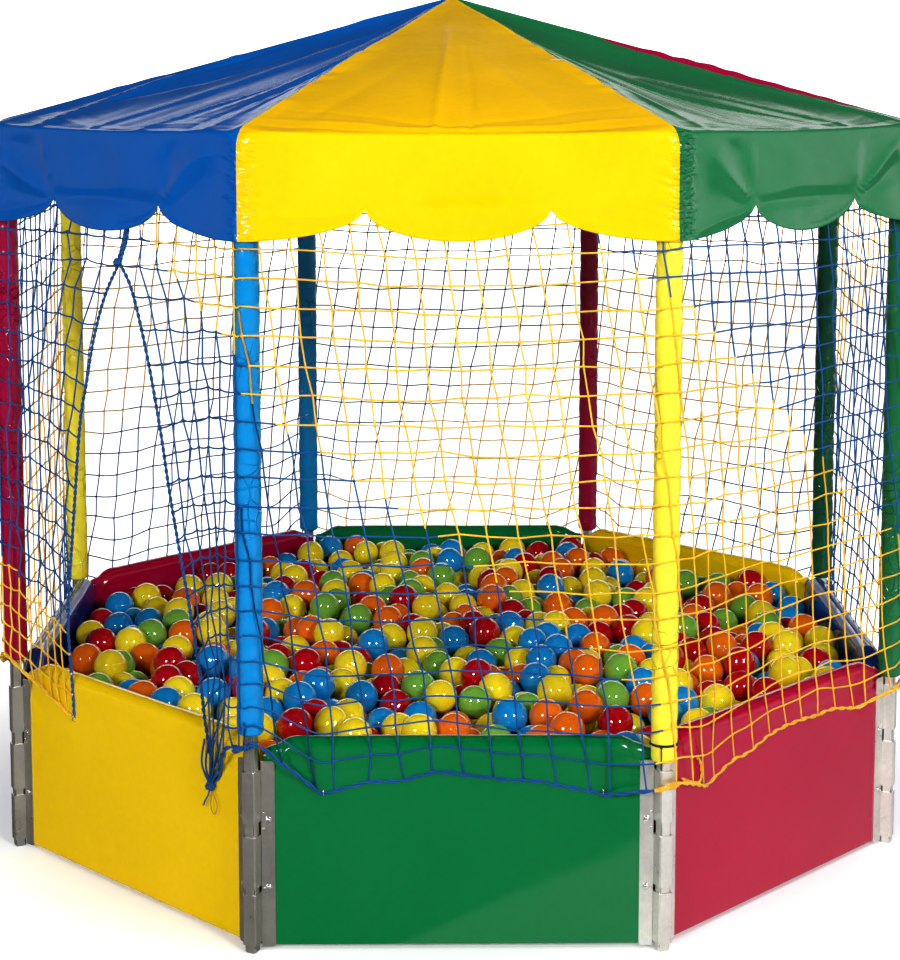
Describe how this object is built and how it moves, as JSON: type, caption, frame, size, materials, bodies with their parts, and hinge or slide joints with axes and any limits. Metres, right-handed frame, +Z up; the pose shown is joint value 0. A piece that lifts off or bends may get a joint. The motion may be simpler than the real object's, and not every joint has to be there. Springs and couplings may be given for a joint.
{
  "type": "ball pit",
  "caption": "Octagonal ball pit with padded base panels, square poles in foam sleeves, netting with an entrance slit, a plug-in roof frame and a scalloped cover.",
  "frame": {"origin": "centre of the pit on the floor, under the roof hub", "axes": "+Z up; the front face looks towards -Y; +X to the right of someone facing the front"},
  "size_m": [2.131, 2.131, 2],
  "materials": {
    "metal": "dull galvanised",
    "vinyl_yellow": "glossy coated vinyl",
    "vinyl_green": "glossy coated vinyl",
    "vinyl_red": "glossy coated vinyl",
    "vinyl_blue": "glossy coated vinyl",
    "vinyl_azure": "glossy coated vinyl",
    "balls": "glossy blow-moulded, five colours",
    "net": "knotted twine in blue and yellow bands",
    "cover_cloth": "coated tent cloth in four colours"
  },
  "bodies": {
    "base": {"pole_front_right": "metal", "pole_right_front": "metal", "pole_right_back": "metal", "pole_back_right": "metal", "pole_back_left": "metal", "pole_left_back": "metal", "pole_left_front": "metal", "pole_front_left": "metal", "sleeve_front_right": "vinyl_yellow", "sleeve_right_front": "vinyl_green", "sleeve_right_back": "vinyl_green", "sleeve_back_right": "vinyl_red", "sleeve_back_left": "vinyl_azure", "sleeve_left_back": "vinyl_yellow", "sleeve_left_front": "vinyl_red", "sleeve_front_left": "vinyl_azure", "left_bracket_front": "metal", "left_bracket_front_right": "metal", "left_bracket_right": "metal", "left_bracket_back_right": "metal", "left_bracket_back": "metal", "left_bracket_back_left": "metal", "left_bracket_left": "metal", "left_bracket_front_left": "metal", "right_bracket_front": "metal", "right_bracket_front_right": "metal", "right_bracket_right": "metal", "right_bracket_back_right": "metal", "right_bracket_back": "metal", "right_bracket_back_left": "metal", "right_bracket_left": "metal", "right_bracket_front_left": "metal", "panel_front": "vinyl_green", "panel_front_right": "vinyl_red", "panel_right": "vinyl_blue", "panel_back_right": "vinyl_yellow", "panel_back": "vinyl_green", "panel_back_left": "vinyl_red", "panel_left": "vinyl_blue", "panel_front_left": "vinyl_yellow", "ball_fill": "balls", "net_front": "net", "net_front_right": "net", "net_right": "net", "net_back_right": "net", "net_back": "net", "net_back_left": "net", "net_left": "net"},
    "roof_frame": {"rafter_front_right": "metal", "rafter_right_front": "metal", "rafter_right_back": "metal", "rafter_back_right": "metal", "rafter_back_left": "metal", "rafter_left_back": "metal", "rafter_left_front": "metal", "rafter_front_left": "metal", "roof_hub": "metal"},
    "cover": {"cover": "cover_cloth"},
    "flap_left": {"entrance_flap_left": "net"},
    "flap_right": {"entrance_flap_right": "net"}
  },
  "joints": [
    {"name": "roof_frame_lift", "type": "slide", "parent": "base", "child": "roof_frame", "axis": [0, 0, 1], "range_m": [0, 0.12]},
    {"name": "cover_lift", "type": "slide", "parent": "roof_frame", "child": "cover", "axis": [0, 0, 1], "range_m": [0, 0.3]},
    {"name": "flap_left_swing", "type": "hinge", "parent": "base", "child": "flap_left", "pos_m": [-1.04782, -0.44678, 0.9], "axis": [0, 0, -1], "range_deg": [0, 70]},
    {"name": "flap_right_swing", "type": "hinge", "parent": "base", "child": "flap_right", "pos_m": [-0.44678, -1.04782, 0.9], "axis": [0, 0, 1], "range_deg": [0, 70]}
  ]
}
